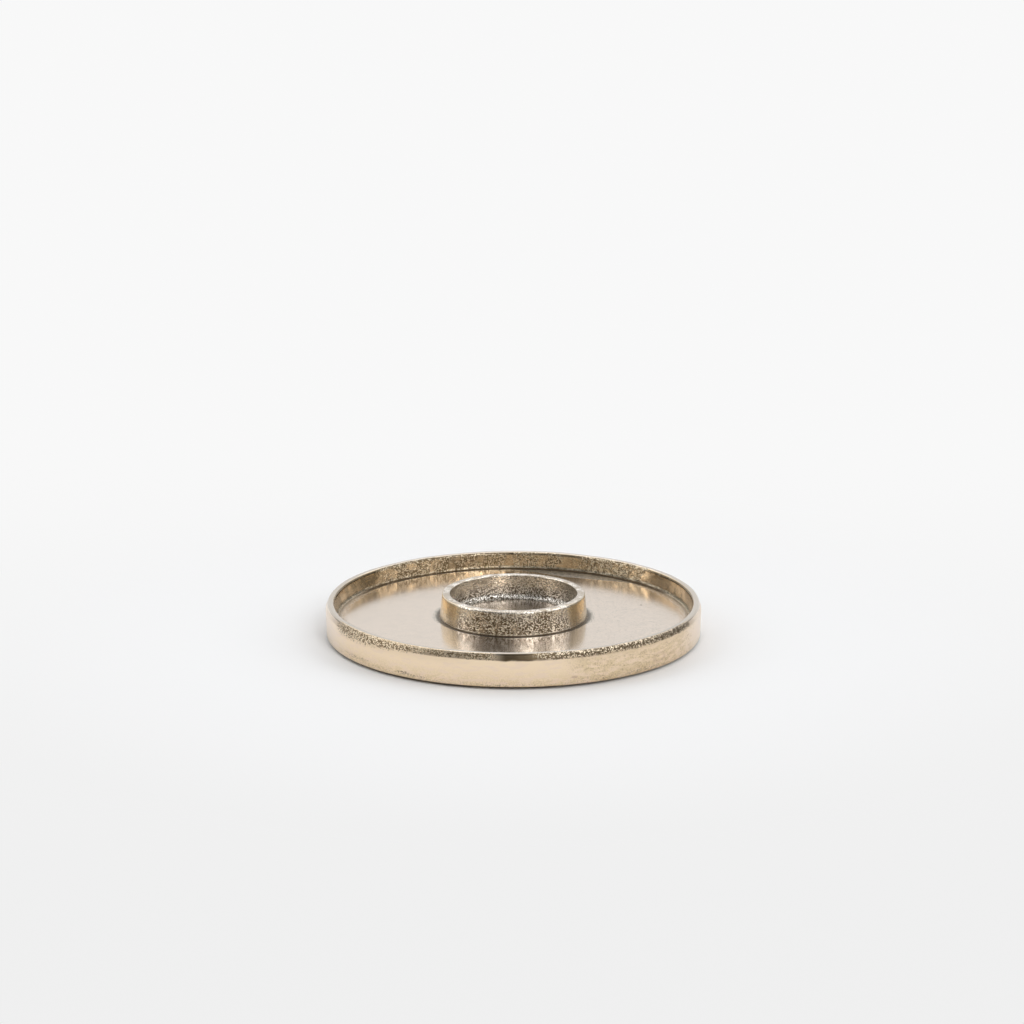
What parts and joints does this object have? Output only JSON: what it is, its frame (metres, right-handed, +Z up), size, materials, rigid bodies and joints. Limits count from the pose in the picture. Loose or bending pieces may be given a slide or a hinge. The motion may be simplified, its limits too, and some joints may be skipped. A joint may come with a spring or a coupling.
{
  "type": "candle plate",
  "caption": "Low round dish with an upstanding rim and, in its middle, a short upstanding ring that holds a pillar candle, in rough cast antique brass on felt pads.",
  "frame": {"origin": "centre of the plate, on the table that its pads stand on", "axes": "+Z up along the axis of the dish and the ring; X and Y alike, -Y towards the picture's camera"},
  "size_m": [0.22, 0.22, 0.025],
  "materials": {
    "dish_brass": "raw casting, brushed satin and dark in its pits",
    "ring_brass": "raw casting, pitted, brown patina towards its foot",
    "screw_steel": "zinc plated",
    "pad_felt": "dark brown pressed felt"
  },
  "bodies": {
    "root": {"dish": "dish_brass", "candle_ring": "ring_brass", "ring_screw_1": "screw_steel", "ring_screw_2": "screw_steel", "ring_screw_3": "screw_steel", "ring_screw_4": "screw_steel", "felt_pad_1": "pad_felt", "felt_pad_2": "pad_felt", "felt_pad_3": "pad_felt", "felt_pad_4": "pad_felt"}
  },
  "joints": []
}
